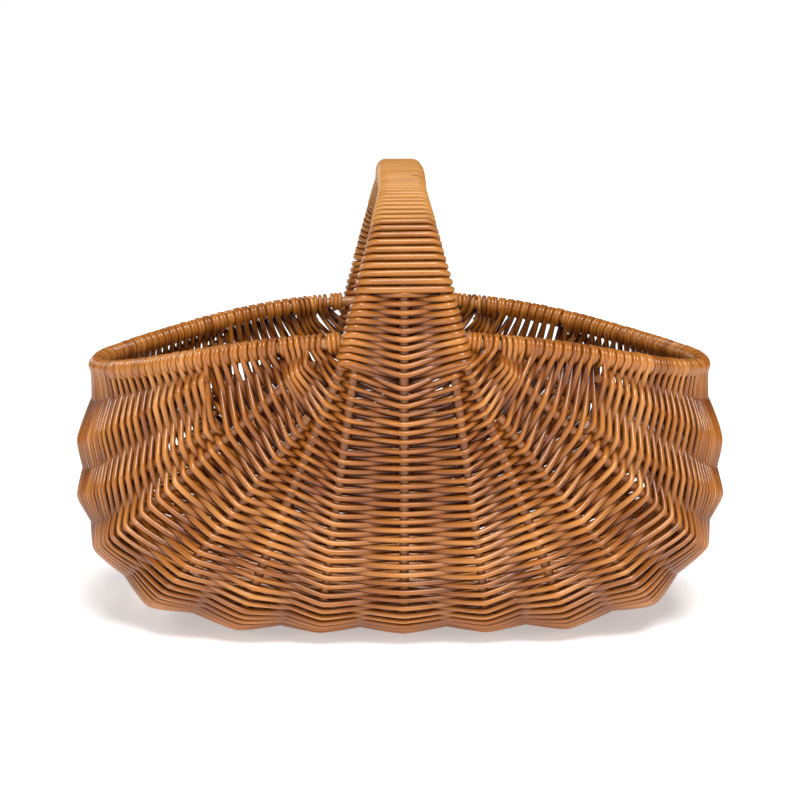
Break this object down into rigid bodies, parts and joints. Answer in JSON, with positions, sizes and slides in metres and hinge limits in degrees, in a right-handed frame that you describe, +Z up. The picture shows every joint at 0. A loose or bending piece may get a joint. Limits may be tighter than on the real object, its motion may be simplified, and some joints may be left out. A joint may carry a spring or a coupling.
{
  "type": "wicker log basket",
  "caption": "Oval rib-woven willow basket with a saddle-shaped rim and one fixed handle arching across its short direction.",
  "frame": {"origin": "on the floor under the middle of the basket", "axes": "+X along the basket's length, +Z up; the handle arches along Y"},
  "size_m": [0.5939, 0.4356, 0.408],
  "materials": {
    "weavers": "varnished unpeeled buff willow rods, glossy",
    "rim_wraps": "varnished willow rods wound round the rim, glossy",
    "handle_coils": "varnished willow rods and split skeins, glossy",
    "rim": "thick varnished willow rod",
    "ribs": "varnished willow rods"
  },
  "bodies": {
    "root": {"grip_binding": "handle_coils", "handle_coil_back": "handle_coils", "handle_coil_front": "handle_coils", "handle_hoop_centre": "ribs", "handle_hoop_left": "ribs", "handle_hoop_right": "ribs", "handle_weave_back": "weavers", "handle_weave_front": "weavers", "rib_left_1": "ribs", "rib_left_2": "ribs", "rib_left_3": "ribs", "rib_left_4": "ribs", "rib_left_6": "ribs", "rib_right_1": "ribs", "rib_right_2": "ribs", "rib_right_3": "ribs", "rib_right_4": "ribs", "rib_right_6": "ribs", "rim_hoop": "rim", "rim_wrap_back_left": "rim_wraps", "rim_wrap_back_right": "rim_wraps", "rim_wrap_front_left": "rim_wraps", "rim_wrap_front_right": "rim_wraps", "weave_back_base_left": "weavers", "weave_back_base_right": "weavers", "weave_back_lower_left": "weavers", "weave_back_lower_right": "weavers", "weave_back_middle_left": "weavers", "weave_back_middle_right": "weavers", "weave_back_upper_left": "weavers", "weave_back_upper_right": "weavers", "weave_front_base_left": "weavers", "weave_front_base_right": "weavers", "weave_front_lower_left": "weavers", "weave_front_lower_right": "weavers", "weave_front_middle_left": "weavers", "weave_front_middle_right": "weavers", "weave_front_upper_left": "weavers", "weave_front_upper_right": "weavers"}
  },
  "joints": []
}
